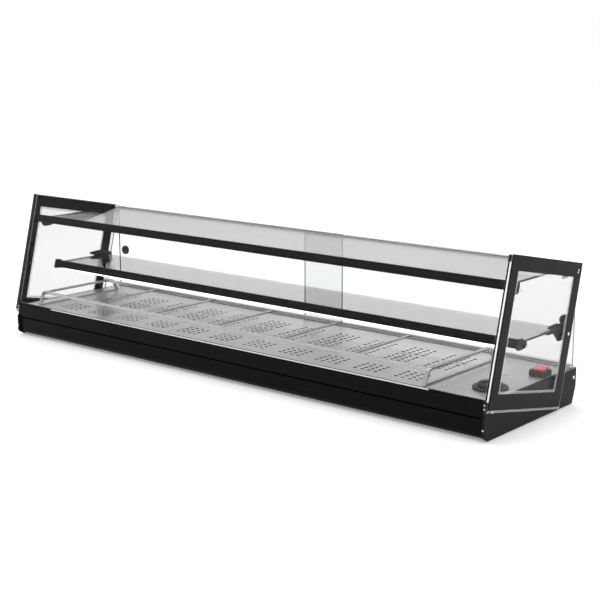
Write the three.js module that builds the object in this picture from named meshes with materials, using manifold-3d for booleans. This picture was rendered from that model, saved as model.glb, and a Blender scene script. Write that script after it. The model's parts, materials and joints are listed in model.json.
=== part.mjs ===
// Countertop hot food display case: a heated base, a slanted glass body with two
// shelves, and two sliding doors at the back.
// Millimetres, +Z up, front towards -Y. The origin is on the counter, midway along
// the case and midway through its depth.

import * as THREE from 'three';
import { mergeVertices } from 'three/addons/utils/BufferGeometryUtils.js';
import Module from 'manifold-3d';

const wasm = await Module();
wasm.setup();

// ---------------------------------------------------------------- driving sizes
// Profile coordinates: y runs rearward from the foot of the end cheek, z up from the counter.
const PROFILE_MID = 175.65; // profile y that becomes Y = 0
const HALF_LENGTH = 750; // to the outer faces of the frame screws
const LEAN = 0.258; // rearward lean of posts and front glass, y per z
const FALL = 0.2; // fall of the frame rails towards the rear, z per y
const GAP = 0.3; // clearance between touching pieces
const SHEET = 1.5;

// layers across the length, measured from the middle of the case
const PLATE_OUT = 748.5; // outer face of the black side frame
const PLATE_IN = 745.3;
const PANE_OUT = 745;
const PANE_IN = 741;
const CHEEK_OUT = 740.7;
const CHEEK_IN = 734.7;
const BODY_HALF = 734.3; // fascias, deck, pan and rear panel
const SHELF_HALF = 731.8;
const BRACKET_IN = 732.2;
const BRACKET_OUT = 735.2;

// base
const DECK_TOP = 82;
const BASE_REAR = 367;
const CHEEK_FRONT = -16;
const DECK_FRONT = 0;
const DECK_REAR = 346;

// slanted body
const FRAME_TOP_FRONT_Z = 377;
const FRAME_TOP_FRONT_Y = 65;
const FRAME_BASE_FRONT_Z = 70.5;
const FRAME_BASE_FRONT_Y = -15;
const POST_WIDTH = 29.5;
const RAIL_HEIGHT = 33;
const PANE_MARGIN_BASE = 6.3; // clear border of the pane below the frame
const PANE_MARGIN_REAR = 8.4; // and behind it
const SEAL_WIDTH = 6;

// shelves
const TOP_SHELF_Z = 313.2;
const MID_SHELF_Z = 183;
const SHELF_THICK = 4.8;

// doors
const DOOR_THICK = 4;
const DOOR_LOW = 84.6;
const DOOR_HIGH = 313.5;
const DOOR_END = 738;
const DOOR_OVERLAP_LEFT = -29.5; // where the right door ends
const DOOR_OVERLAP_RIGHT = 85.5; // where the left door ends
const INNER_DOOR_Y = 350.4;
const OUTER_DOOR_Y = 359.3;
const PULL_Z = 187;
const PULL_RADIUS = 12.6;

// front post line and rear post line of the slanted body
const frontLine = (z) => 30 + (z - 242) * LEAN;
const rearLine = (z) => 338 + (z - 240) * LEAN;
const topLine = (y) => FRAME_TOP_FRONT_Z - (y - FRAME_TOP_FRONT_Y) * FALL;
const baseLine = (y) => FRAME_BASE_FRONT_Z - (y - FRAME_BASE_FRONT_Y) * FALL;

// ---------------------------------------------------------------- finishes
const finish = (color, roughness, metalness, extra = {}) =>
  new THREE.MeshStandardMaterial({ color, roughness, metalness, ...extra });
const clear = { transparent: true, opacity: 0.25 };
const blackCoat = () => finish(0x1c1c1d, 0.42, 0.2);
const blackPlastic = () => finish(0x161617, 0.5, 0);
const glassLook = () => finish(0xe4efec, 0.05, 0, clear);
const steelLook = () => finish(0xb9bab8, 0.35, 0.9);
const rubberLook = () => finish(0x101011, 0.8, 0);
const sealLook = () => finish(0xb4b8b8, 0.5, 0);
const screwLook = () => finish(0xd0d0ce, 0.25, 0.95);

// ---------------------------------------------------------------- solid helpers
const toSolid = (geometry) => {
  const bare = new THREE.BufferGeometry();
  const source = geometry.index ? geometry.toNonIndexed() : geometry;
  bare.setAttribute('position', source.getAttribute('position').clone());
  const merged = mergeVertices(bare, 1e-4);
  return new wasm.Manifold(new wasm.Mesh({
    numProp: 3,
    vertProperties: new Float32Array(merged.getAttribute('position').array),
    triVerts: new Uint32Array(merged.index.array),
  }));
};

const toGeometry = (solid) => {
  const mesh = solid.getMesh();
  const geometry = new THREE.BufferGeometry();
  geometry.setAttribute('position', new THREE.BufferAttribute(mesh.vertProperties, 3));
  geometry.setIndex(new THREE.BufferAttribute(mesh.triVerts, 1));
  geometry.computeVertexNormals();
  return geometry;
};

const join = (...geometries) =>
  toGeometry(geometries.map(toSolid).reduce((sum, solid) => sum.add(solid)));
const cut = (base, ...tools) =>
  toGeometry(tools.map(toSolid).reduce((rest, tool) => rest.subtract(tool), toSolid(base)));

const shapeOf = (points, holes = []) => {
  const shape = new THREE.Shape(points.map(([a, b]) => new THREE.Vector2(a, b)));
  holes.forEach((hole) => {
    shape.holes.push(new THREE.Path(hole.map(([a, b]) => new THREE.Vector2(a, b))));
  });
  return shape;
};

const extrude = (shape, depth, curveSegments = 8) =>
  new THREE.ExtrudeGeometry(shape, { depth, bevelEnabled: false, curveSegments });

// a y-z outline pushed out along the length from x0 to x1
const alongX = (points, x0, x1, holes = []) => {
  const geometry = extrude(shapeOf(points, holes), x1 - x0);
  const turn = new THREE.Matrix4().makeBasis(
    new THREE.Vector3(0, 1, 0), new THREE.Vector3(0, 0, 1), new THREE.Vector3(1, 0, 0));
  return geometry.applyMatrix4(turn).translate(x0, 0, 0);
};

// an x-y outline pushed up from z0 to z1
const alongZ = (points, z0, z1, holes = []) =>
  extrude(shapeOf(points, holes), z1 - z0).translate(0, 0, z0);

const rectangle = (a0, a1, b0, b1) => [[a0, b0], [a1, b0], [a1, b1], [a0, b1]];

const block = (x0, x1, y0, y1, z0, z1) =>
  new THREE.BoxGeometry(x1 - x0, y1 - y0, z1 - z0)
    .translate((x0 + x1) / 2, (y0 + y1) / 2, (z0 + z1) / 2);

// a turned piece on the z axis: profile of [radius, height], closed on the axis
const turned = (profile, sides = 24) =>
  new THREE.LatheGeometry(profile.map(([r, h]) => new THREE.Vector2(r, h)), sides)
    .rotateX(Math.PI / 2);

const roundBar = (radius, length, sides = 20) =>
  turned([[0, 0], [radius, 0], [radius, length], [0, length]], sides);

// the same, lying along +x from x0 to x1 at (y, z)
const roundBarX = (radius, x0, x1, y, z, sides = 20) =>
  roundBar(radius, x1 - x0, sides).rotateY(Math.PI / 2).translate(x0, y, z);

const arcPoints = (cy, cz, radius, from, to, steps) =>
  Array.from({ length: steps + 1 }, (_, i) => {
    const angle = THREE.MathUtils.degToRad(from + ((to - from) * i) / steps);
    return [cy + radius * Math.cos(angle), cz + radius * Math.sin(angle)];
  });

const group = new THREE.Group();
const addPart = (name, geometry, material) => {
  geometry.translate(0, -PROFILE_MID, 0);
  const mesh = new THREE.Mesh(geometry, material);
  mesh.name = name;
  group.add(mesh);
};

// left and right copies: build(side, x0, x1) receives the mirrored span
const SIDES = [['left', -1], ['right', 1]];
const span = (sign, near, far) => (sign > 0 ? [near, far] : [-far, -near]);
const addPair = (name, near, far, build, material) => {
  SIDES.forEach(([side, sign]) => {
    const [x0, x1] = span(sign, near, far);
    addPart(`${name}_${side}`, build(x0, x1, sign), material());
  });
};

// ---------------------------------------------------------------- base
const cheekOutline = [
  [0, 1.2], [353, 1.2], [BASE_REAR, 40], [BASE_REAR, DECK_TOP], [8, DECK_TOP],
  [-3, 63], [CHEEK_FRONT, 54], [CHEEK_FRONT, 13], [-13, 9],
];
addPair('end_cap', CHEEK_IN, CHEEK_OUT, (x0, x1) => alongX(cheekOutline, x0, x1), blackCoat);

// upper fascia: a folded channel whose top ledge carries the front glass
const FASCIA_TOP = 86;
const fasciaUpper = [
  [-11.5, 51], [2, 51], [2, 51 + SHEET], [-10, 51 + SHEET], [-10.9, FASCIA_TOP - SHEET],
  [-2.6, FASCIA_TOP - SHEET], [-2.6, 68], [-1, 68], [-1, FASCIA_TOP], [-12.5, FASCIA_TOP],
];
addPart('fascia_upper', alongX(fasciaUpper, -BODY_HALF, BODY_HALF), blackCoat());

// lower fascia: a bullnose sheet that tucks under the floor pan
const NOSE_RADIUS = 17;
const noseOuter = arcPoints(7, 20.5, NOSE_RADIUS, 180, 270, 6);
const noseInner = arcPoints(7, 20.5, NOSE_RADIUS - SHEET, 270, 180, 6);
const fasciaLower = [
  [2, 47.5], [-10, 47.5], ...noseOuter, [18.5, 3.5], [18.5, 5],
  ...noseInner, [-8.5, 46], [2, 46],
];
addPart('fascia_lower', alongX(fasciaLower, -BODY_HALF, BODY_HALF), blackCoat());

// floor pan with turned-up front and rear edges
const PAN_FLOOR = 8;
const floorPan = [
  [20, PAN_FLOOR], [345, PAN_FLOOR], [345, 24], [345 - SHEET, 24], [345 - SHEET, PAN_FLOOR + SHEET],
  [20 + SHEET, PAN_FLOOR + SHEET], [20 + SHEET, 30], [20, 30],
];
addPart('floor_pan', alongX(floorPan, -BODY_HALF, BODY_HALF), steelLook());

// rear panel: vertical above, sloping in below, with vents and the inlet opening
const INLET_X = 560;
const INLET_Z = 60;
const VENT_COUNT = 8;
const rearPanel = [
  [365, 79.5], [363.5, 79.5], [363.5, 40.6], [351.2, 5.5], [352.8, 5.5], [365, 40.3],
];
const ventCuts = Array.from({ length: VENT_COUNT }, (_, i) => {
  const x = -560 + i * 26;
  return block(x, x + 5, 355, 372, 48, 72);
});
const inletCut = block(INLET_X - 14, INLET_X + 14, 355, 372, INLET_Z - 10.5, INLET_Z + 10.5);
addPart('rear_panel', cut(alongX(rearPanel, -BODY_HALF, BODY_HALF), inletCut, ...ventCuts), blackCoat());

// mains inlet: a flanged body with a recessed face and three pins
const inletFlange = block(INLET_X - 17, INLET_X + 17, 365.3, 367.3, INLET_Z - 13, INLET_Z + 13);
const inletBody = block(INLET_X - 13.6, INLET_X + 13.6, 347, 366, INLET_Z - 10.1, INLET_Z + 10.1);
const inletRecess = block(INLET_X - 11.5, INLET_X + 11.5, 350, 370, INLET_Z - 8, INLET_Z + 8);
const inletPins = [[-7, -1], [0, 3], [7, -1]].map(([dx, dz]) =>
  block(INLET_X + dx - 1, INLET_X + dx + 1, 349, 364, INLET_Z + dz - 2, INLET_Z + dz + 2));
addPart('mains_inlet', join(cut(join(inletFlange, inletBody), inletRecess), ...inletPins), blackPlastic());

// rubber feet under the floor pan
const FOOT_X = 640;
[['front', 60], ['rear', 305]].forEach(([place, y]) => {
  SIDES.forEach(([side, sign]) => {
    const foot = turned([[0, 0], [14, 0], [16, 3], [16, PAN_FLOOR - GAP], [0, PAN_FLOOR - GAP]]);
    addPart(`foot_${place}_${side}`, foot.translate(sign * FOOT_X, y, 0), rubberLook());
  });
});

// ---------------------------------------------------------------- deck and heater
// perforations: square groups of four by four holes, in three rows along the deck
const HOLE_RADIUS = 5.2;
const HOLE_PITCH_X = 18.5;
const HOLE_PITCH_Y = 15.5;
const HOLES_ACROSS = 4;
const GROUP_PITCH = 110.4;
const GROUP_COUNT = 11;
const GROUP_START_X = -628;
const GROUP_STARTS_Y = [50, 162, 234];
const diamond = (x, y, r) => [[x - r, y], [x, y - r], [x + r, y], [x, y + r]];
const deckHoles = [];
GROUP_STARTS_Y.forEach((startY) => {
  for (let g = 0; g < GROUP_COUNT; g += 1) {
    for (let i = 0; i < HOLES_ACROSS; i += 1) {
      for (let j = 0; j < HOLES_ACROSS; j += 1) {
        const x = GROUP_START_X + g * GROUP_PITCH + i * HOLE_PITCH_X;
        deckHoles.push(diamond(x, startY + j * HOLE_PITCH_Y, HOLE_RADIUS));
      }
    }
  }
});
const SMALL_HOLES = [[604, 301], [612, 303]];
SMALL_HOLES.forEach(([x, y]) => deckHoles.push(diamond(x, y, 2)));
const deckOuter = rectangle(-BODY_HALF, BODY_HALF, DECK_FRONT, DECK_REAR);
const deckSheet = alongZ(deckOuter, DECK_TOP - SHEET, DECK_TOP, deckHoles);
const deckFlange = (y, low) => block(-BODY_HALF, BODY_HALF, y, y + SHEET, low, DECK_TOP - 0.5);
addPart('deck_plate',
  join(deckSheet, deckFlange(DECK_FRONT, 62), deckFlange(DECK_REAR - SHEET, 64)), steelLook());
addPart('heater_plate', block(-700, 660, 24, 322, 74, 76), finish(0x8d8f90, 0.45, 0.8));

// ---------------------------------------------------------------- side walls
// a four-sided outline following the post and rail lines, moved in by the given amounts
const bodyOutline = (front, rear, base, top) => {
  const corner = (post, offset, rail, drop) => {
    let z = 200;
    for (let i = 0; i < 12; i += 1) z = rail(post(z) + offset) + drop;
    return [post(z) + offset, z];
  };
  return [
    corner(frontLine, front, baseLine, base), corner(rearLine, -rear, baseLine, base),
    corner(rearLine, -rear, topLine, -top), corner(frontLine, front, topLine, -top),
  ];
};
const frameOutline = bodyOutline(0, 0, 0, 0);
const windowOutline = bodyOutline(POST_WIDTH, POST_WIDTH, RAIL_HEIGHT, RAIL_HEIGHT);
const inset = (extra) =>
  bodyOutline(POST_WIDTH + extra, POST_WIDTH + extra, RAIL_HEIGHT + extra, RAIL_HEIGHT + extra);
const paneOutline = bodyOutline(0, -PANE_MARGIN_REAR, -PANE_MARGIN_BASE, 0);

addPair('side_glass', PANE_IN, PANE_OUT, (x0, x1) => alongX(paneOutline, x0, x1), glassLook);
addPair('side_frame', PLATE_IN, PLATE_OUT,
  (x0, x1) => alongX(frameOutline, x0, x1, [windowOutline]), blackCoat);
addPair('side_seal', PLATE_IN, PLATE_OUT - 0.7,
  (x0, x1) => alongX(inset(GAP), x0, x1, [inset(SEAL_WIDTH)]), sealLook);

// clear filler between the leaning pane and the upright doors
const paneRear = (z) => rearLine(z) + PANE_MARGIN_REAR + GAP;
const FILLER_LOW = DECK_TOP + 0.6;
const FILLER_HIGH = 312;
const fillerOutline = [
  [paneRear(FILLER_LOW), FILLER_LOW], [BASE_REAR - 0.5, FILLER_LOW],
  [BASE_REAR - 0.5, FILLER_HIGH], [paneRear(FILLER_HIGH), FILLER_HIGH],
];
addPair('side_filler', PANE_IN + 0.5, PANE_OUT - 0.5,
  (x0, x1) => alongX(fillerOutline, x0, x1), glassLook);

// frame screws: low front and rear post
addPair('frame_screw_front', PANE_OUT + 0.2, HALF_LENGTH - 3,
  (x0, x1) => roundBarX(3, x0, x1, 6.5, 62.6), screwLook);
addPair('frame_screw_rear', PLATE_OUT + 0.2, HALF_LENGTH,
  (x0, x1) => roundBarX(3.6, x0, x1, 306, 170), screwLook);

// ---------------------------------------------------------------- front glass
const GLASS_DEPTH = 5.2; // thickness measured along y
const GLASS_END = 737.1;
const GLASS_LOW = 88.6;
const GLASS_HIGH = 375.5;
const leaningStrip = (z0, z1, front, depth) => [
  [frontLine(z0) + front, z0], [frontLine(z0) + front + depth, z0],
  [frontLine(z1) + front + depth, z1], [frontLine(z1) + front, z1],
];
addPart('front_glass',
  alongX(leaningStrip(GLASS_LOW, GLASS_HIGH, 0, GLASS_DEPTH), -GLASS_END, GLASS_END), glassLook());
addPair('front_gasket', GLASS_END + GAP, PANE_IN - GAP,
  (x0, x1) => alongX(leaningStrip(GLASS_LOW, GLASS_HIGH - 16, 0.2, GLASS_DEPTH - 0.2), x0, x1), rubberLook);
addPart('glass_base_seal',
  alongX(rectangle(-9.4, -3.6, FASCIA_TOP + GAP, GLASS_LOW - GAP), -BODY_HALF, BODY_HALF), rubberLook());
addPart('front_trim_strip', block(-602, 602, -12.3, -9.8, FASCIA_TOP + GAP, 88.4), finish(0xf2f2f0, 0.3, 0.2));

// foot block that closes the corner between cheek, fascia and front glass
const footBlock = [
  [-12, 57.4], [-3.6, 63.3], [7.3, 82.3], [10, 82.3], [10, FASCIA_TOP + 2], [-12.4, FASCIA_TOP + 2],
];
addPair('glass_foot', CHEEK_IN + 0.1, CHEEK_OUT, (x0, x1) => alongX(footBlock, x0, x1), blackPlastic);

// clip at the top corner: it laps the pane edge and the end of the front glass
const clipLap = leaningStrip(360.5, GLASS_HIGH, -1.5, GLASS_DEPTH + 1.5);
const clipCover = leaningStrip(362, GLASS_HIGH, -1.5, 1.2);
addPair('glass_clip', GLASS_END + GAP, PANE_IN - GAP, (x0, x1, sign) => {
  const [cover0, cover1] = span(sign, GLASS_END + GAP, PANE_OUT);
  return join(alongX(clipLap, x0, x1), alongX(clipCover, cover0, cover1));
}, blackPlastic);

// ---------------------------------------------------------------- shelves
// a rail: leaning front flange with a ledge that the shelf glass rests on
const railOutline = (front, z0, ledge, z1, depth) => {
  const face = (z) => front + (z - z0) * LEAN;
  return [
    [face(z0), z0], [face(z0) + depth, z0], [face(z0) + depth, ledge],
    [face(ledge) + 3, ledge], [face(z1) + 3, z1], [face(z1), z1],
  ];
};
const TOP_RAIL_LOW = 304.5;
const TOP_RAIL_HIGH = 323.5;
const topRailFront = frontLine(TOP_RAIL_LOW) + GLASS_DEPTH + 0.5;
const topLedge = TOP_SHELF_Z - SHELF_THICK - GAP;
addPart('top_shelf_rail',
  alongX(railOutline(topRailFront, TOP_RAIL_LOW, topLedge, TOP_RAIL_HIGH, 20), -PANE_IN + GAP, PANE_IN - GAP),
  blackCoat());
addPart('top_shelf_glass',
  block(-SHELF_HALF, SHELF_HALF, topRailFront + 6, 344, TOP_SHELF_Z - SHELF_THICK, TOP_SHELF_Z), glassLook());

const MID_RAIL_LOW = 170.5;
const MID_RAIL_HIGH = 189.5;
const MID_RAIL_FRONT = 114;
const midLedge = MID_SHELF_Z - SHELF_THICK - GAP;
addPart('mid_shelf_rail',
  alongX(railOutline(MID_RAIL_FRONT, MID_RAIL_LOW, midLedge, MID_RAIL_HIGH, 18), -SHELF_HALF, SHELF_HALF),
  blackCoat());
addPart('mid_shelf_glass',
  block(-SHELF_HALF, SHELF_HALF, MID_RAIL_FRONT + 6.8, 300, MID_SHELF_Z - SHELF_THICK, MID_SHELF_Z), glassLook());
addPart('lamp_strip',
  block(-700, 700, MID_RAIL_FRONT + 0.8, MID_RAIL_FRONT + 12, MID_RAIL_LOW - 3.4, MID_RAIL_LOW - GAP),
  finish(0xfbfbf6, 0.4, 0));

// bracket: an upright plate outboard of the shelf end, a ledge under the glass and a
// boss that reaches the side pane
const LEDGE_REACH = 18;
const BOSS_RADIUS = 4.5;
const bracket = (plate, ledgeFront, ledgeRear, shelfZ, bossY, bossZ) => (x0, x1, sign) => {
  const under = shelfZ - SHELF_THICK - GAP;
  const [ledge0, ledge1] = span(sign, BRACKET_IN - LEDGE_REACH, BRACKET_IN + 1);
  const [boss0, boss1] = span(sign, BRACKET_OUT - 1, PANE_IN - GAP);
  return join(
    alongX(plate, x0, x1),
    block(ledge0, ledge1, ledgeFront, ledgeRear, under - 3, under),
    roundBarX(BOSS_RADIUS, boss0, boss1, bossY, bossZ));
};
const topFrontPlate = [
  [76, 304.1], [76, 294], [84, 287.5], [108, 287.5], [115, 294], [115, 310], [80, 310], [80, 304.1],
];
const topRearPlate = [[298, 290], [318, 290], [338, 302], [338, 310], [298, 310]];
const midFrontPlate = [
  [112.5, 168], [119, 190.5], [133, 189.5], [152, 179], [153, 170], [148, 167], [132, 165], [120, 165.5],
];
const midRearPlate = [
  [244, 188], [244, 193.7], [277, 196], [314, 188.5], [325, 184], [325, 154.4], [287.5, 154.4], [257, 184.5],
];
addPair('top_bracket_front', BRACKET_IN, BRACKET_OUT,
  bracket(topFrontPlate, 78, 115, TOP_SHELF_Z, 98, 298), blackCoat);
addPair('top_bracket_rear', BRACKET_IN, BRACKET_OUT,
  bracket(topRearPlate, 298, 338, TOP_SHELF_Z, 310, 299), blackCoat);
addPair('mid_bracket_front', BRACKET_IN, BRACKET_OUT,
  bracket(midFrontPlate, 134, 152, MID_SHELF_Z, 141, 173), blackCoat);
addPair('mid_bracket_rear', BRACKET_IN, BRACKET_OUT,
  bracket(midRearPlate, 245, 296, MID_SHELF_Z, 300, 167), blackCoat);

// ---------------------------------------------------------------- rear doors
// lower track: a ledge with three guide ribs; upper track hangs the same way
const RIB_YS = [[347, 348.6], [355.8, 357.4], [364.9, 366.5]];
const trackOutline = (base0, base1, tip) => {
  const [lower, upper] = base0 < tip ? [base0, base1] : [base1, base0];
  const foot = base0 < tip ? lower : upper;
  const shoulder = base0 < tip ? upper : lower;
  const comb = RIB_YS.flatMap(([a, b], i) => {
    const rib = [[a, tip], [b, tip]];
    if (i === 0) return [...rib, [b, shoulder]];
    if (i === RIB_YS.length - 1) return [[a, shoulder], ...rib];
    return [[a, shoulder], ...rib, [b, shoulder]];
  });
  const first = RIB_YS[0][0];
  const last = RIB_YS[RIB_YS.length - 1][1];
  const outline = [[first, foot], ...comb, [last, foot]];
  return base0 < tip ? outline.reverse() : outline;
};
addPart('door_track_lower',
  alongX(trackOutline(DECK_TOP - 1.7, DOOR_LOW - 1, 89), -BODY_HALF, BODY_HALF), finish(0xc9cbcb, 0.35, 0.8));
addPart('door_track_upper',
  alongX(trackOutline(318, DOOR_HIGH + 1, 306), -PANE_IN + GAP, PANE_IN - GAP), glassLook());

// a clear sliding door with a hole for its finger pull
const PULL_INSET = 24;
const PULL_HOLE = 9.6;
const door = (x0, x1, y, pullX) => cut(
  block(x0, x1, y, y + DOOR_THICK, DOOR_LOW, DOOR_HIGH),
  roundBar(PULL_HOLE, 20).rotateX(Math.PI / 2).translate(pullX, y + 12, PULL_Z));
const pull = (x, y) => {
  const rim = 1.6;
  const neck = PULL_HOLE - GAP;
  return turned([
    [0, 1], [neck - 2, 1], [neck - 1, -rim], [PULL_RADIUS - 1, -rim], [PULL_RADIUS, -GAP], [neck, -GAP],
    [neck, DOOR_THICK + GAP], [PULL_RADIUS, DOOR_THICK + GAP], [PULL_RADIUS - 1, DOOR_THICK + rim],
    [neck - 1, DOOR_THICK + rim], [neck - 2, 3], [0, 3],
  ], 28).rotateX(-Math.PI / 2).translate(x, y, PULL_Z);
};
const leftPullX = -DOOR_END + PULL_INSET;
const rightPullX = DOOR_END - PULL_INSET;
addPart('rear_door_left', door(-DOOR_END, DOOR_OVERLAP_RIGHT, OUTER_DOOR_Y, leftPullX), glassLook());
addPart('rear_door_right', door(DOOR_OVERLAP_LEFT, DOOR_END, INNER_DOOR_Y, rightPullX), glassLook());
addPart('door_pull_left', pull(leftPullX, OUTER_DOOR_Y), blackPlastic());
addPart('door_pull_right', pull(rightPullX, INNER_DOOR_Y), blackPlastic());

// ---------------------------------------------------------------- serving rack
const RACK_LEFT = -691;
const RACK_RIGHT = 575;
const RACK_TOP = 118;
const RACK_BAR = 10; // width of a side bar
const BAR_THICK = 5;
const RACK_FOOT = DECK_TOP + GAP;
// side bar: front leg splayed forward, long top run, rear leg turned down on a bend
const rackPath = [
  [19, RACK_FOOT], ...arcPoints(42, 104, 11.5, 150, 90, 4), [270, 115.5],
  ...arcPoints(270, 93.5, 22, 75, 20, 5), [300, RACK_FOOT],
];
const ribbon = (path, half) => {
  const points = path.map(([y, z]) => new THREE.Vector2(y, z));
  const normals = points.map((point, i) => {
    const before = points[Math.max(i - 1, 0)];
    const after = points[Math.min(i + 1, points.length - 1)];
    const along = after.clone().sub(before).normalize();
    return new THREE.Vector2(-along.y, along.x).multiplyScalar(half);
  });
  const upper = points.map((point, i) => point.clone().add(normals[i]));
  const lower = points.map((point, i) => point.clone().sub(normals[i])).reverse();
  return [...lower.reverse(), ...upper.reverse()].map((p) => [p.x, Math.max(p.y, RACK_FOOT)]);
};
const rackSide = (x0) => join(
  alongX(ribbon(rackPath, BAR_THICK / 2), x0, x0 + RACK_BAR),
  block(x0 + 2, x0 + RACK_BAR - 2, 19, 300, RACK_FOOT, RACK_FOOT + 4));
const rackRail = (y0, y1) => block(RACK_LEFT + 1, RACK_RIGHT - 1, y0, y1, RACK_TOP - 7, RACK_TOP);
const CROSS_BARS = 5;
const crossBars = Array.from({ length: CROSS_BARS }, (_, i) => {
  const x = RACK_LEFT + ((i + 1) * (RACK_RIGHT - RACK_LEFT)) / (CROSS_BARS + 1);
  return block(x - 4, x + 4, 40, 262, RACK_TOP - 5, RACK_TOP - 1);
});
addPart('serving_rack',
  join(rackSide(RACK_LEFT), rackSide(RACK_RIGHT - RACK_BAR), rackRail(38, 43), rackRail(258, 263), ...crossBars),
  steelLook());

// ---------------------------------------------------------------- controls on the deck
const KNOB_X = 684;
const KNOB_Y = 97;
const bezel = turned([[0, 0], [37, 0], [38, 1], [38, 3.5], [36, 5], [30, 5], [29, 4.2], [0, 4.2]], 36);
addPart('thermostat_bezel', bezel.translate(KNOB_X, KNOB_Y, DECK_TOP + GAP), blackPlastic());
const knobBody = turned([[0, 0], [26, 0], [27, 1.5], [25.5, 7], [24, 8], [0, 8]], 36);
const knobGrip = block(-3, 3, -22, 22, 6, 12.5);
const knob = join(knobBody, knobGrip).rotateZ(-0.6);
addPart('thermostat_knob', knob.translate(KNOB_X, KNOB_Y, DECK_TOP + GAP + 4.6), finish(0x2a2b2c, 0.45, 0));

const SWITCH_X = 713;
const SWITCH_Y = 254;
const SWITCH_HALF = 18;
const SWITCH_HIGH = 13;
const taper = [
  [-SWITCH_HALF, 0], [SWITCH_HALF, 0], [SWITCH_HALF, SWITCH_HIGH - 3], [SWITCH_HALF - 3, SWITCH_HIGH],
  [-SWITCH_HALF + 3, SWITCH_HIGH], [-SWITCH_HALF, SWITCH_HIGH - 3],
];
const housingBlock = alongX(taper, -SWITCH_HALF, SWITCH_HALF);
const housingWell = block(-15, 15, -12.5, 12.5, 3, 20);
addPart('rocker_housing',
  cut(housingBlock, housingWell).translate(SWITCH_X, SWITCH_Y, DECK_TOP + GAP), blackPlastic());
const ROCKER_PIVOT = 13;
// rocker: two faces meeting in a shallow valley, resting with its front pressed
const rockerOutline = [
  [-11, -4], [-4, -7], [4, -7], [11, -4], [11, 4.5], [0, 3], [-11, 4.5],
];
const ROCKER_TILT = THREE.MathUtils.degToRad(14);
const rocker = alongX(rockerOutline, -14.5, 14.5).rotateX(ROCKER_TILT);
addPart('rocker', rocker.translate(SWITCH_X, SWITCH_Y, DECK_TOP + GAP + ROCKER_PIVOT), finish(0xd8322f, 0.35, 0));

export default group;
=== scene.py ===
"""Looks of a countertop heated display case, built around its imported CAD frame."""
import json
import math

import bmesh
import bpy
from mathutils import Matrix, Vector


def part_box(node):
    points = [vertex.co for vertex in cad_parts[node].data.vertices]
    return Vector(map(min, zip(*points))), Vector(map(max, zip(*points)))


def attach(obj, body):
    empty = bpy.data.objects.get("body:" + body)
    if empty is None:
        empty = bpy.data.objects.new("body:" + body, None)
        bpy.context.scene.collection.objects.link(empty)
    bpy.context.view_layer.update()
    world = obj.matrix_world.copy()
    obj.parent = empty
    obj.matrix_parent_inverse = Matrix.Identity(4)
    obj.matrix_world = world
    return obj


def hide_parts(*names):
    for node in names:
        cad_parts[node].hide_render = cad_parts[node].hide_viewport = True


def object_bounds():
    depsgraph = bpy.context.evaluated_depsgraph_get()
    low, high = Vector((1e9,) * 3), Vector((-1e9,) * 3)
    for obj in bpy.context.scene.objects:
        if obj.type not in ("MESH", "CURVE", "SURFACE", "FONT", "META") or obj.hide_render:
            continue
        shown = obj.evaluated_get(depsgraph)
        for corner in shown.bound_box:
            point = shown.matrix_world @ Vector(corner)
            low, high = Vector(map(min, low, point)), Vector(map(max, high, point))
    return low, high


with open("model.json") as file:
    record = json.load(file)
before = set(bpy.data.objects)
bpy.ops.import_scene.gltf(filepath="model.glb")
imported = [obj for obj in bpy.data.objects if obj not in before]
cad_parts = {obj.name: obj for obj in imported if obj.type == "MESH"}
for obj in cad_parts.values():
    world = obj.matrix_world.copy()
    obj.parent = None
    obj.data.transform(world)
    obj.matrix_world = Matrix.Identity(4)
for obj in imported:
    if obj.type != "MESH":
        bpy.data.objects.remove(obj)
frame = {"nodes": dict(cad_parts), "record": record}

cad_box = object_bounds()
MM = 0.001
NODES = frame["nodes"]
RECORD = frame["record"]
SIDES = (("left", -1), ("right", 1))
BODY_OF = {node: body for body, nodes in RECORD["behaviour"]["bodies"].items() for node in nodes}


# ---------------------------------------------------------------- camera
CAMERA_PLACE = (2.0289, -2.3148, 0.8146)
CAMERA_HEADING = 39.83  # degrees left of +Y
CAMERA_DOWN = 12.21
CAMERA_LENS = 76.87
CAMERA_SHIFT = (0.0017, 0.0105)


def look(location, heading, down, lens, shift):
    """A camera at location, heading degrees left of +Y and tilted down."""
    yaw, pitch = math.radians(heading), math.radians(down)
    level = math.cos(pitch)
    forward = Vector((-math.sin(yaw) * level, math.cos(yaw) * level, -math.sin(pitch)))
    right = Vector((math.cos(yaw), math.sin(yaw), 0.0))
    up = right.cross(forward)
    data = bpy.data.cameras.new("view")
    data.lens, data.sensor_width = lens, 36.0
    data.shift_x, data.shift_y = shift
    camera = bpy.data.objects.new("view", data)
    turn = Matrix((right, up, -forward)).transposed().to_4x4()
    camera.matrix_world = Matrix.Translation(location) @ turn
    bpy.context.scene.collection.objects.link(camera)
    bpy.context.scene.camera = camera


look(CAMERA_PLACE, CAMERA_HEADING, CAMERA_DOWN, CAMERA_LENS, CAMERA_SHIFT)


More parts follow.
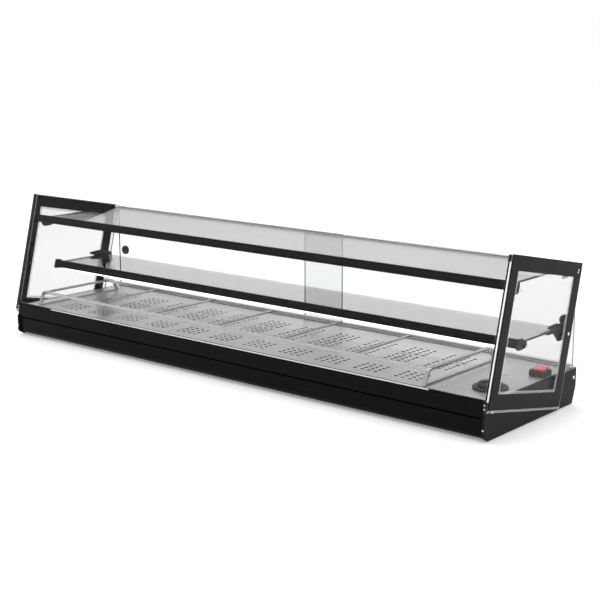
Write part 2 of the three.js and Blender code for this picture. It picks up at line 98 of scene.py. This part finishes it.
# ---------------------------------------------------------------- material helpers
class Mat:
    """A node material under construction."""

    def __init__(self, name):
        self.m = bpy.data.materials.new(name)
        self.m.use_nodes = True
        self.t = self.m.node_tree
        self.t.nodes.clear()
        self.out = self.n("ShaderNodeOutputMaterial")
        self.coord = self.n("ShaderNodeTexCoord").outputs["Object"]

    def n(self, kind, **values):
        node = self.t.nodes.new(kind)
        for key, value in values.items():
            setattr(node, key, value)
        return node

    def link(self, a, b):
        self.t.links.new(a, b)
        return b

    def noise(self, scale, stretch=(1, 1, 1), detail=3.0, rough=0.55):
        place = self.n("ShaderNodeMapping")
        place.inputs["Scale"].default_value = stretch
        self.link(self.coord, place.inputs["Vector"])
        tex = self.n("ShaderNodeTexNoise")
        tex.inputs["Scale"].default_value = scale
        tex.inputs["Detail"].default_value = detail
        tex.inputs["Roughness"].default_value = rough
        self.link(place.outputs["Vector"], tex.inputs["Vector"])
        return tex.outputs["Fac"]

    def ramp(self, fac, low, high, start=0.3, end=0.7):
        """Maps fac from start..end to low..high."""
        node = self.n("ShaderNodeMapRange")
        limits = {"From Min": start, "From Max": end, "To Min": low, "To Max": high}
        for key, value in limits.items():
            node.inputs[key].default_value = value
        self.link(fac, node.inputs["Value"])
        return node.outputs["Result"]

    def tint(self, fac, a, b):
        """The colour between a and b at fac."""
        node = self.n("ShaderNodeMix", data_type="RGBA")
        node.inputs["A"].default_value = (*a, 1)
        node.inputs["B"].default_value = (*b, 1)
        self.link(fac, node.inputs["Factor"])
        return node.outputs["Result"]

    def bump(self, height, strength, distance):
        node = self.n("ShaderNodeBump")
        node.inputs["Strength"].default_value = strength
        node.inputs["Distance"].default_value = distance
        self.link(height, node.inputs["Height"])
        return node.outputs["Normal"]

    def principled(self, **values):
        node = self.n("ShaderNodeBsdfPrincipled")
        for key, value in values.items():
            socket = node.inputs[key.replace("_", " ")]
            if isinstance(value, bpy.types.NodeSocket):
                self.link(value, socket)
            else:
                socket.default_value = value
        return node.outputs["BSDF"]

    def mix(self, fac, a, b):
        node = self.n("ShaderNodeMixShader")
        if isinstance(fac, bpy.types.NodeSocket):
            self.link(fac, node.inputs["Fac"])
        else:
            node.inputs["Fac"].default_value = fac
        self.link(a, node.inputs[1])
        self.link(b, node.inputs[2])
        return node.outputs["Shader"]

    def clear(self, color):
        node = self.n("ShaderNodeBsdfTransparent")
        node.inputs["Color"].default_value = (*color, 1)
        return node.outputs["BSDF"]

    def done(self, shader):
        self.link(shader, self.out.inputs["Surface"])
        return self.m


def coated(name, dark, light, rough, grain, depth, spec=0.35):
    """A painted or moulded surface with a fine grain and slight unevenness."""
    m = Mat(name)
    broad = m.noise(9, detail=4)
    fine = m.noise(grain, detail=2)
    color = m.tint(broad, dark, light)
    roughness = m.ramp(broad, rough - 0.05, rough + 0.07)
    return m.done(m.principled(
        Base_Color=color, Roughness=roughness, Specular_IOR_Level=spec,
        Normal=m.bump(fine, 0.25, depth)))


def brushed(name, dark, light, rough, stretch, anisotropy=0.4, smear=900, depth=0.00003,
            metal=1.0):
    """Metal with long, fine brush lines along the axis with the smallest stretch."""
    m = Mat(name)
    lines = m.noise(smear, stretch, detail=5, rough=0.65)
    cloud = m.noise(6, detail=3)
    color = m.tint(m.ramp(lines, 0, 1, 0.25, 0.75), dark, light)
    roughness = m.ramp(cloud, rough - 0.05, rough + 0.08)
    return m.done(m.principled(
        Base_Color=color, Metallic=metal, Roughness=roughness, Anisotropic=anisotropy,
        Normal=m.bump(lines, 0.2, depth)))


def pane(name, tint, base=0.03, edge=0.85, power=5.0):
    """Thin clear glass: seen through face on, mirror-like at a grazing angle."""
    m = Mat(name)
    facing = m.n("ShaderNodeLayerWeight")
    facing.inputs["Blend"].default_value = 0.5
    curve = m.n("ShaderNodeMath", operation="POWER")
    m.link(facing.outputs["Facing"], curve.inputs[0])
    curve.inputs[1].default_value = power
    fac = m.ramp(curve.outputs["Value"], base, edge, 0, 1)
    shine = m.n("ShaderNodeBsdfGlossy")
    smear = m.noise(3.0, detail=2)
    m.link(m.ramp(smear, 0.0, 0.03), shine.inputs["Roughness"])
    return m.done(m.mix(fac, m.clear(tint), shine.outputs["BSDF"]))


def veil(name, color, cover, rough=0.35):
    """A translucent film or ground edge: part surface, part seen through."""
    m = Mat(name)
    grain = m.noise(700, detail=2)
    shade = m.tint(grain, tuple(0.92 * c for c in color), color)
    grainy = m.bump(grain, 0.1, 0.00005)
    body = m.principled(Base_Color=shade, Roughness=rough, Normal=grainy)
    return m.done(m.mix(cover, m.clear((1, 1, 1)), body))


def glowing(name, color, light, strength, rough=0.35, coat=0.0):
    """A surface that also gives off some light of its own."""
    m = Mat(name)
    cloud = m.noise(120, detail=2)
    shade = m.tint(cloud, tuple(0.9 * c for c in color), color)
    return m.done(m.principled(
        Base_Color=shade, Roughness=rough, Coat_Weight=coat, Coat_Roughness=0.08,
        Emission_Color=(*light, 1), Emission_Strength=strength))


def grey(value, red=0.0, blue=0.0):
    """A near-neutral colour, red or blue away from grey by the given amounts."""
    return (value + red, value, value + blue)


black = coated("black_coat", grey(0.002, blue=0.0001), grey(0.003, blue=0.0001),
               0.3, 1500, 0.00005, 0.05)
black_side = coated("black_frame", grey(0.005, blue=0.0001), grey(0.008, blue=0.0001),
                    0.4, 1500, 0.00005, 0.08)
bracket_black = coated("bracket_black", grey(0.028, blue=0.0005), grey(0.038, blue=0.0005),
                       0.42, 1500, 0.00005, 0.15)
plastic = coated("black_plastic", grey(0.008), grey(0.013), 0.45, 2500, 0.00004, 0.15)
grey_plastic = coated("grey_plastic", (0.045, 0.046, 0.046), (0.06, 0.061, 0.061),
                      0.45, 2500, 0.00004, 0.25)
knob_black = coated("knob_plastic", grey(0.063, 0.002, -0.002), grey(0.078, 0.002, -0.002),
                    0.42, 2500, 0.00004, 0.3)
rubber = coated("rubber", grey(0.003), grey(0.005), 0.7, 900, 0.00008, 0.1)
mark_white = coated("mark_white", (0.7, 0.7, 0.68), (0.8, 0.8, 0.78), 0.5, 900, 0.00002)

deck_steel = brushed("deck_steel", (0.55, 0.547, 0.54), (0.60, 0.597, 0.59), 0.3,
                     (0.012, 1, 1), smear=600, depth=0.00001, metal=0.7)
rack_steel = brushed("rack_steel", (0.50, 0.495, 0.485), (0.58, 0.575, 0.565), 0.18,
                     (0.03, 1, 1), depth=0.00001)
pan_steel = brushed("pan_steel", grey(0.36), grey(0.44), 0.42, (0.03, 1, 1))
heater_steel = brushed("heater_steel", (0.03, 0.029, 0.028), (0.05, 0.049, 0.048), 0.6,
                       (0.1, 1, 1))
screw_metal = brushed("screw_metal", grey(0.78), grey(0.88), 0.2, (1, 1, 1), 0.0, 400)

glass = pane("pane_glass", (0.91, 0.913, 0.915), 0.006, 0.7)
side_glass = pane("side_pane_glass", grey(0.85), 0.006, 0.45)
shelf_glass = pane("shelf_glass", (0.83, 0.828, 0.83), 0.03, 0.7, 4.0)
pale_edge = veil("ground_edge", (0.86, 0.88, 0.88), 0.26)
# painted highlight: near-white, mostly opaque edge for the right side pane's front edge, where it
# catches the light
painted_highlight_edge = veil("painted_highlight_edge", (0.95, 0.97, 0.97), 0.85)
faint_edge = veil("faint_edge", (0.75, 0.8, 0.8), 0.2)
# near-black, almost opaque edge; on the left side pane's edges and below the fascia's top it is
# painted shade
dark_edge = veil("dark_edge", (0.012, 0.015, 0.015), 0.97, 0.2)
clear_track = veil("clear_track", (0.9, 0.92, 0.92), 0.14, 0.2)
seal_grey = veil("seal_grey", (0.9, 0.91, 0.91), 0.2, 0.4)

# painted light: the front trim strip is no lamp, yet it gives off a faint white glow
trim_painted_glow = glowing("trim_painted_glow", (0.62, 0.62, 0.61), (1, 1, 1), 0.05, 0.3)
lamp_white = glowing("lamp_white", (0.95, 0.94, 0.9), (1.0, 0.96, 0.88), 2.5)
rocker_red = glowing("rocker_red", (0.62, 0.06, 0.07), (1.0, 0.1, 0.12), 0.25, 0.35, 0.2)


# ---------------------------------------------------------------- mesh helpers
def finish_mesh(bm, name, materials, smooth_angle=35):
    """Turns a bmesh into an object in the row frame."""
    bmesh.ops.recalc_face_normals(bm, faces=bm.faces)
    mesh = bpy.data.meshes.new(name)
    bm.to_mesh(mesh)
    bm.free()
    for material in materials:
        mesh.materials.append(material)
    mesh.polygons.foreach_set("use_smooth", [True] * len(mesh.polygons))
    mesh.set_sharp_from_angle(angle=math.radians(smooth_angle))
    piece = bpy.data.objects.new(name, mesh)
    bpy.context.scene.collection.objects.link(piece)
    even = piece.modifiers.new("even", "WEIGHTED_NORMAL")
    even.keep_sharp = True
    return piece


def place(piece, body, node):
    """The piece rides on body and stands for the CAD node, which it hides."""
    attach(piece, body)
    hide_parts(node)
    return piece


def node_bmesh(node):
    """The CAD node's solid with its flat faces made whole."""
    bm = bmesh.new()
    bm.from_mesh(NODES[node].data)
    bmesh.ops.remove_doubles(bm, verts=bm.verts, dist=2e-5)
    for layer in list(bm.loops.layers.float_vector):
        bm.loops.layers.float_vector.remove(layer)
    bmesh.ops.recalc_face_normals(bm, faces=bm.faces)
    bmesh.ops.dissolve_limit(bm, angle_limit=math.radians(1), verts=bm.verts, edges=bm.edges)
    return bm


def soften(bm, width, segments=2, over=25):
    """Rounds every edge sharper than over degrees."""
    limit = math.radians(over)
    edges = [e for e in bm.edges if len(e.link_faces) == 2 and e.calc_face_angle(0) > limit]
    bmesh.ops.bevel(bm, geom=edges, offset=width, segments=segments, profile=0.6,
                    affect="EDGES", clamp_overlap=True)


def dressed(node, material, width=0.5 * MM, segments=2, over=25):
    """A copy of a CAD solid with its edges rounded."""
    bm = node_bmesh(node)
    soften(bm, width, segments, over)
    piece = finish_mesh(bm, node + "_skin", [material])
    return place(piece, BODY_OF[node], node)


def turned(name, rings, center, axis, materials, sides=32):
    """A turned piece: rings of (radius, height, material index of the band above it)."""
    bm = bmesh.new()
    loops = []
    for radius, height, _ in rings:
        loop = []
        for i in range(sides):
            a = 2 * math.pi * i / sides
            loop.append(bm.verts.new((radius * math.cos(a), radius * math.sin(a), height)))
        loops.append(loop)
    bm.faces.new(list(reversed(loops[0])))
    for k in range(len(loops) - 1):
        for i in range(sides):
            j = (i + 1) % sides
            f = bm.faces.new((loops[k][i], loops[k][j], loops[k + 1][j], loops[k + 1][i]))
            f.material_index = rings[k][2]
    f = bm.faces.new(loops[-1])
    f.material_index = rings[-1][2]
    turn = Vector((0, 0, 1)).rotation_difference(Vector(axis)).to_matrix().to_4x4()
    bm.transform(Matrix.Translation(center) @ turn)
    return finish_mesh(bm, name, materials)


def screw(name, center, axis, radius, sunk=0.0):
    """A dome head with a round socket, its underside at center."""
    c = Vector(center) - Vector(axis) * sunk
    rings = [(radius, 0, 0), (radius, 0.25 * radius, 0), (0.86 * radius, 0.46 * radius, 0),
             (0.55 * radius, 0.58 * radius, 0), (0.42 * radius, 0.58 * radius, 1),
             (0.36 * radius, 0.2 * radius, 1)]
    piece = turned(name, rings, c, axis, [screw_metal, plastic], 20)
    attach(piece, "case")
    return piece


# ---------------------------------------------------------------- painted and moulded solids
for side, sign in SIDES:
    dressed("end_cap_" + side, black_side, 0.8 * MM)
    dressed("side_frame_" + side, black_side, 0.6 * MM)
    dressed("side_seal_" + side, seal_grey, 0.3 * MM)
    dressed("front_gasket_" + side, rubber, 0.6 * MM)
    dressed("glass_foot_" + side, plastic, 0.7 * MM)
    dressed("glass_clip_" + side, plastic, 0.5 * MM)
    dressed("door_pull_" + side, grey_plastic, 0.3 * MM, 2, 30)
    for level in ("top", "mid"):
        for end in ("front", "rear"):
            dressed(f"{level}_bracket_{end}_{side}", bracket_black, 0.4 * MM)
    for end in ("front", "rear"):
        dressed(f"foot_{end}_{side}", rubber, 0.6 * MM)
for name in ("fascia_upper", "fascia_lower"):
    dressed(name, black, 0.5 * MM, 2, 20)
for name in ("top_shelf_rail", "mid_shelf_rail"):
    dressed(name, black_side, 0.6 * MM)
dressed("rear_panel", black, 0.3 * MM)
dressed("mains_inlet", plastic, 0.3 * MM)
dressed("floor_pan", pan_steel, 0.3 * MM)
dressed("heater_plate", heater_steel, 0.3 * MM)
dressed("glass_base_seal", rubber, 0.3 * MM)
# the trim strip's faint glow is painted light
dressed("front_trim_strip", trim_painted_glow, 0.3 * MM)
dressed("lamp_strip", lamp_white, 0.5 * MM)
dressed("door_track_lower", clear_track, 0.3 * MM)
dressed("door_track_upper", clear_track, 0.3 * MM)


# ---------------------------------------------------------------- glass
FACE, EDGE, BORDER, OTHER_EDGE, SHADE_EDGE = range(5)  # material places on a pane


def split(bm, point, normal):
    """Divides the faces that cross a plane."""
    everything = bm.verts[:] + bm.edges[:] + bm.faces[:]
    bmesh.ops.bisect_plane(bm, geom=everything, plane_co=point, plane_no=normal)


def glass_piece(node, body, edge, face=glass, width=0.5 * MM, borders=(), other_edge=None,
                edge_axis=0, dark_below=None):
    """A pane: its two broad faces are clear, its edges are ground and take the edge materials
    given, some of which hold a painted highlight or painted shade.
    Edges that face along edge_axis use edge, the rest other_edge where it is given.
    The broad faces are ground past each border line, given as (point, outward normal).
    Below dark_below the front edge sits behind the fascia's end and is painted dark as shade."""
    bm = node_bmesh(node)
    broad = max(bm.faces, key=lambda f: f.calc_area()).normal.copy()
    soften(bm, width, 1, 60)
    for point, normal in borders:
        split(bm, point, normal)
    if dark_below:
        split(bm, (0, 0, dark_below), (0, 0, 1))
    for f in bm.faces:
        middle = f.calc_center_median()
        if abs(f.normal.dot(broad)) > 0.95:
            past = any((middle - point).dot(normal) > 0 for point, normal in borders)
            f.material_index = BORDER if past else FACE
        # painted shade: the front edge below the fascia's top gets the near-black edge
        elif dark_below and f.normal.y < -0.5 and middle.z < dark_below:
            f.material_index = SHADE_EDGE
        elif other_edge and abs(f.normal[edge_axis]) < 0.5:
            f.material_index = OTHER_EDGE
        else:
            f.material_index = EDGE
    materials = [face, edge, pale_edge, other_edge or edge, dark_edge]
    return place(finish_mesh(bm, node + "_sheet", materials, 20), body, node)


def frame_lines(side):
    """The base line and the rear line of a side frame, each as (point, outward normal)."""
    points = [v.co for v in NODES["side_frame_" + side].data.vertices]
    rear_base = min(points, key=lambda p: p.z)
    front_base = min(points, key=lambda p: p.y)
    rear_top = max(points, key=lambda p: p.y)
    down, back = Vector((0, 0, -1)), Vector((0, 1, 0))
    lines = []
    for a, b, out in ((front_base, rear_base, down), (rear_base, rear_top, back)):
        along = Vector((0, b.y - a.y, b.z - a.z)).normalized()
        normal = Vector((0, -along.z, along.y))
        lines.append((Vector(a), normal if normal.dot(out) > 0 else -normal))
    return lines


# the right pane's front edge catches the light and gets a painted highlight; the left pane's
# edges face away from it and get painted shade
SIDE_EDGES = {"left": (dark_edge, dark_edge), "right": (painted_highlight_edge, pale_edge)}
fascia_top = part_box("fascia_upper")[1].z
for side, _ in SIDES:
    front_edge, plain_edge = SIDE_EDGES[side]
    glass_piece("side_glass_" + side, "case", front_edge, side_glass, borders=frame_lines(side),
                other_edge=plain_edge, edge_axis=1, dark_below=fascia_top)
    glass_piece("side_filler_" + side, "case", pale_edge)
    glass_piece("rear_door_" + side, "door_" + side, dark_edge)
glass_piece("front_glass", "case", faint_edge)
for level in ("top", "mid"):
    glass_piece(level + "_shelf_glass", "case", dark_edge, shelf_glass, other_edge=faint_edge)


# ---------------------------------------------------------------- perforated deck
def flat_curve(name, loops, half, level):
    """A plate cut from closed loops of points, holes included, half thick each way."""
    data = bpy.data.curves.new(name, "CURVE")
    data.dimensions = "2D"
    data.fill_mode = "BOTH"
    data.extrude = half
    for loop in loops:
        spline = data.splines.new("POLY")
        spline.points.add(len(loop) - 1)
        for point, (x, y) in zip(spline.points, loop):
            point.co = (x, y, 0, 1)
        spline.use_cyclic_u = True
    curve = bpy.data.objects.new(name, data)
    bpy.context.scene.collection.objects.link(curve)
    curve.location.z = level
    bpy.context.view_layer.update()
    graph = bpy.context.evaluated_depsgraph_get()
    mesh = bpy.data.meshes.new_from_object(curve.evaluated_get(graph))
    bm = bmesh.new()
    bm.from_mesh(mesh)
    bm.transform(Matrix.Translation((0, 0, level)))
    bmesh.ops.remove_doubles(bm, verts=bm.verts, dist=1e-6)
    bpy.data.objects.remove(curve)
    return bm


def circle(x, y, r, sides=12):
    angles = [2 * math.pi * i / sides for i in range(sides)]
    return [(x + r * math.cos(a), y + r * math.sin(a)) for a in angles]


def add_block(bm, middle, size):
    """Adds a block of the given size to bm."""
    made = bmesh.ops.create_cube(bm, size=1)["verts"]
    for v in made:
        v.co = Vector((v.co.x * size.x, v.co.y * size.y, v.co.z * size.z)) + middle


# square groups of round holes in rows along the deck; y is measured from its front edge
SHEET = 1.5 * MM
HOLE_RADIUS = 4.6 * MM
HOLES_ACROSS = 4
HOLE_PITCH_X = 18.5
HOLE_PITCH_Y = 15.5
GROUP_COUNT = 11
GROUP_PITCH = 110.4
GROUP_START_X = -628
GROUP_STARTS_Y = (50, 162, 234)
SMALL_HOLES = ((604, 301), (612, 303))
SMALL_HOLE_RADIUS = 2 * MM

deck_low, deck_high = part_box("deck_plate")
deck_top = deck_high.z
front = deck_low.y


def deck_holes():
    """The outlines of all openings in the deck."""
    outlines = []
    for start_y in GROUP_STARTS_Y:
        for group in range(GROUP_COUNT):
            start_x = GROUP_START_X + GROUP_PITCH * group
            for i in range(HOLES_ACROSS):
                for j in range(HOLES_ACROSS):
                    x = (start_x + HOLE_PITCH_X * i) * MM
                    y = front + (start_y + HOLE_PITCH_Y * j) * MM
                    outlines.append(circle(x, y, HOLE_RADIUS))
    for x, y in SMALL_HOLES:
        outlines.append(circle(x * MM, front + y * MM, SMALL_HOLE_RADIUS))
    return outlines


def deck():
    """The perforated sheet with a flange turned down at its front and rear."""
    outer = [(deck_low.x, deck_low.y), (deck_high.x, deck_low.y),
             (deck_high.x, deck_high.y), (deck_low.x, deck_high.y)]
    bm = flat_curve("deck", [outer] + deck_holes(), SHEET / 2, deck_top - SHEET / 2)
    under = deck_top - SHEET
    rear_low = deck_low.z + 2 * MM
    for y, low in ((deck_low.y, deck_low.z), (deck_high.y - SHEET, rear_low)):
        add_block(bm, Vector((0, y + SHEET / 2, (under + low) / 2)),
                  Vector((deck_high.x - deck_low.x, SHEET, under - low)))
    place(finish_mesh(bm, "deck_skin", [deck_steel]), "case", "deck_plate")


deck()


# ---------------------------------------------------------------- serving rack
dressed("serving_rack", rack_steel, 0.9 * MM, 3, 20)

# ---------------------------------------------------------------- controls
UP = Vector((0, 0, 1))
BEZEL_PROFILE = [(37, 0), (38, 0.6), (38, 3.0), (37.4, 4.2), (35.5, 5.0), (31, 5.0), (30, 4.3),
                 (28, 4.2)]  # radius and height in millimetres
TICK_COUNT = 11
TICK_FIRST = -30  # degrees
TICK_STEP = 24
TICK_SIZE = Vector((3.2, 0.7, 0.12)) * MM
TICK_PLACE = Vector((33.2, 0, 5.04)) * MM  # from the hub, before it is turned into place

low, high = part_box("thermostat_bezel")
hub = Vector(((low.x + high.x) / 2, (low.y + high.y) / 2, low.z))
rings = [(r * MM, h * MM, 0) for r, h in BEZEL_PROFILE]
bezel = turned("thermostat_ring", rings, hub, UP, [grey_plastic], 64)
place(bezel, "case", "thermostat_bezel")
for i in range(TICK_COUNT):
    turn = Matrix.Rotation(math.radians(TICK_FIRST + TICK_STEP * i), 4, "Z")
    tick = bmesh.new()
    add_block(tick, TICK_PLACE, TICK_SIZE)
    tick.transform(Matrix.Translation(hub) @ turn)
    piece = finish_mesh(tick, f"dial_mark_{i:02d}", [mark_white])
    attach(piece, "case")
dressed("thermostat_knob", knob_black, 0.8 * MM, 3, 25)
dressed("rocker_housing", grey_plastic, 0.6 * MM, 3)
dressed("rocker", rocker_red, 0.7 * MM, 3, 8)

# ---------------------------------------------------------------- screws
# places are millimetres: y from the deck's front edge, z from the counter
TOP_REAR_SCREWS = ((341, 305.5), (337.9, 300.4))
MID_FRONT_SCREW = (134, 173)
MID_REAR_SCREW = (310, 165)
MID_REAR_FACE = 735.2 * MM  # outer face of the rear bracket plates
TOP_FRONT_SCREW = (98, 298)
CHEEK_SCREW = (354, 61)
FOOT_SCREW_Y = -10
FOOT_SCREW_ZS = (70.5, 79.0)
NOSE_SCREW_Z = 27
DECK_SCREW = (598, 56)  # x, y
FORWARD = Vector((0, -1, 0))


def outer_x(node, sign):
    """Where a node's outermost face is along the case, on the left or right side."""
    low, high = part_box(node)
    return high.x if sign > 0 else low.x


def side_screw(name, x, place_yz, outward, radius):
    """A screw on a face that looks along the case."""
    y, z = place_yz
    return screw(name, (x, front + y * MM, z * MM), outward, radius * MM)


def side_screws(side, sign):
    """All screws of one end of the case."""
    outward = (sign, 0, 0)
    frame_x = outer_x("side_frame_" + side, sign)
    pane_x = outer_x("side_glass_" + side, sign)
    for end, base in (("front", pane_x), ("rear", frame_x)):
        node = f"frame_screw_{end}_{side}"
        lo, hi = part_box(node)
        c = (lo + hi) / 2
        head = screw(f"screw_{end}_{side}", (base, c.y, c.z), outward, (hi.y - lo.y) / 2)
        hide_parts(node)
    for i, spot in enumerate(TOP_REAR_SCREWS):
        side_screw(f"screw_top_{i}_{side}", frame_x, spot, outward, 2.2)
    side_screw(f"screw_mid_{side}", pane_x, MID_FRONT_SCREW, outward, 3.4)
    side_screw(f"screw_mid_rear_{side}", sign * MID_REAR_FACE, MID_REAR_SCREW, outward, 3.6)
    side_screw(f"screw_top_front_{side}", pane_x, TOP_FRONT_SCREW, outward, 4.2)
    side_screw(f"screw_cheek_{side}", outer_x("end_cap_" + side, sign), CHEEK_SCREW, outward, 3.8)
    foot_low, foot_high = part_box("glass_foot_" + side)
    foot_x = (foot_low.x + foot_high.x) / 2
    for i, z in enumerate(FOOT_SCREW_ZS):
        screw(f"screw_foot_{i}_{side}", (foot_x, front + FOOT_SCREW_Y * MM, z * MM), FORWARD,
              1.8 * MM, sunk=-2.2 * MM)
    nose_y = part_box("end_cap_" + side)[0].y
    screw(f"screw_nose_{side}", (foot_x, nose_y, NOSE_SCREW_Z * MM), FORWARD,
          2.2 * MM, sunk=0.3 * MM)


for side, sign in SIDES:
    side_screws(side, sign)
screw("screw_deck", (DECK_SCREW[0] * MM, front + DECK_SCREW[1] * MM, deck_top), UP, 5 * MM)

# ---------------------------------------------------------------- floor and light
FLOOR_HALF = 14
FLOOR_GAP = 0.4 * MM  # the feet stand just clear of the floor


def floor_white():
    """A matt white that fades into the white surroundings."""
    m = Mat("floor_white")
    soft = m.noise(2.0)
    color = m.tint(soft, grey(0.80), grey(0.82))
    return m.done(m.principled(
        Base_Color=color, Roughness=m.ramp(soft, 0.75, 0.8), Specular_IOR_Level=0.1,
        Emission_Color=(1, 1, 1, 1), Emission_Strength=0.22))


bm = bmesh.new()
bmesh.ops.create_grid(bm, x_segments=4, y_segments=4, size=FLOOR_HALF)
bm.transform(Matrix.Translation((0, 0, cad_box[0].z - FLOOR_GAP)))
floor = finish_mesh(bm, "floor", [floor_white()])

world = bpy.data.worlds.new("studio")
bpy.context.scene.world = world
world.use_nodes = True
background = world.node_tree.nodes["Background"]
background.inputs["Color"].default_value = (1.0, 1.0, 1.0, 1)
background.inputs["Strength"].default_value = 1.0


def area(name, spot, aim, size, power):
    """A rectangular lamp at spot, facing aim."""
    data = bpy.data.lights.new(name, "AREA")
    data.shape = "RECTANGLE"
    data.size, data.size_y = size
    data.energy = power
    lamp = bpy.data.objects.new(name, data)
    lamp.location = spot
    toward = Vector(aim) - Vector(spot)
    lamp.rotation_euler = toward.to_track_quat("-Z", "Y").to_euler()
    bpy.context.scene.collection.objects.link(lamp)


area("key", spot=(-1.6, 1.8, 2.6), aim=(0, 0, 0), size=(2.4, 1.6), power=55)
area("top", spot=(0.2, -0.2, 2.8), aim=(0, 0, 0), size=(3.0, 2.0), power=30)

bpy.context.scene.view_settings.view_transform = "Standard"
